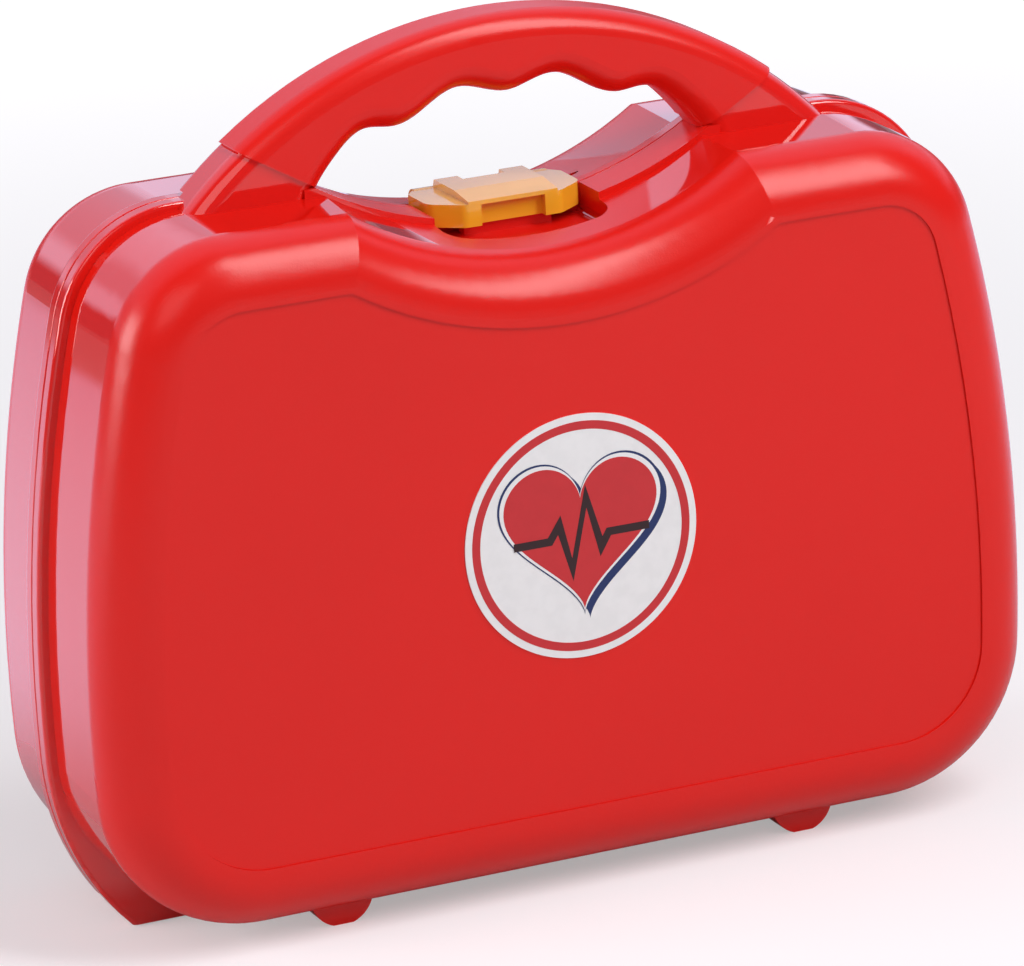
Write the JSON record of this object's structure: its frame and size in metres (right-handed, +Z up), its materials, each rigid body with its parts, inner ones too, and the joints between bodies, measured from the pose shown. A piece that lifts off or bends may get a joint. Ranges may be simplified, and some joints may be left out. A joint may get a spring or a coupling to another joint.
{
  "type": "toy doctor case",
  "caption": "Small upright carrying case in moulded plastic for a toy doctor set, with an arched handle with finger grips, a snap clasp in a dip in its top, a bottom hinge and a round label.",
  "frame": {"origin": "on the floor, midway along the case, in the plane where its two halves meet", "axes": "+X to the right as seen from the front, +Y to the back, +Z up"},
  "size_m": [0.241, 0.078, 0.2033],
  "materials": {
    "red_plastic": "moulded red plastic, finely grained on the faces and the grip, smooth and glossy on the sides",
    "yellow_plastic": "smooth glossy yellow plastic",
    "steel_pin": "drawn wire",
    "printed_label": "printed self-adhesive film with a smooth surface"
  },
  "bodies": {
    "back_half": {"back_shell": "red_plastic", "clasp_pin": "steel_pin"},
    "front_half": {"front_shell": "red_plastic", "handle_cover": "red_plastic", "front_label": "printed_label", "hinge_pin_left": "steel_pin", "hinge_pin_right": "steel_pin"},
    "clasp_body": {"clasp": "yellow_plastic"}
  },
  "joints": [
    {"name": "case_hinge", "type": "hinge", "parent": "back_half", "child": "front_half", "pos_m": [0, 0, 0.003], "axis": [1, 0, 0], "range_deg": [0, 150]},
    {"name": "clasp_pivot", "type": "hinge", "parent": "back_half", "child": "clasp_body", "pos_m": [0, 0.0102, 0.1572], "axis": [-1, 0, 0], "range_deg": [0, 100]}
  ]
}
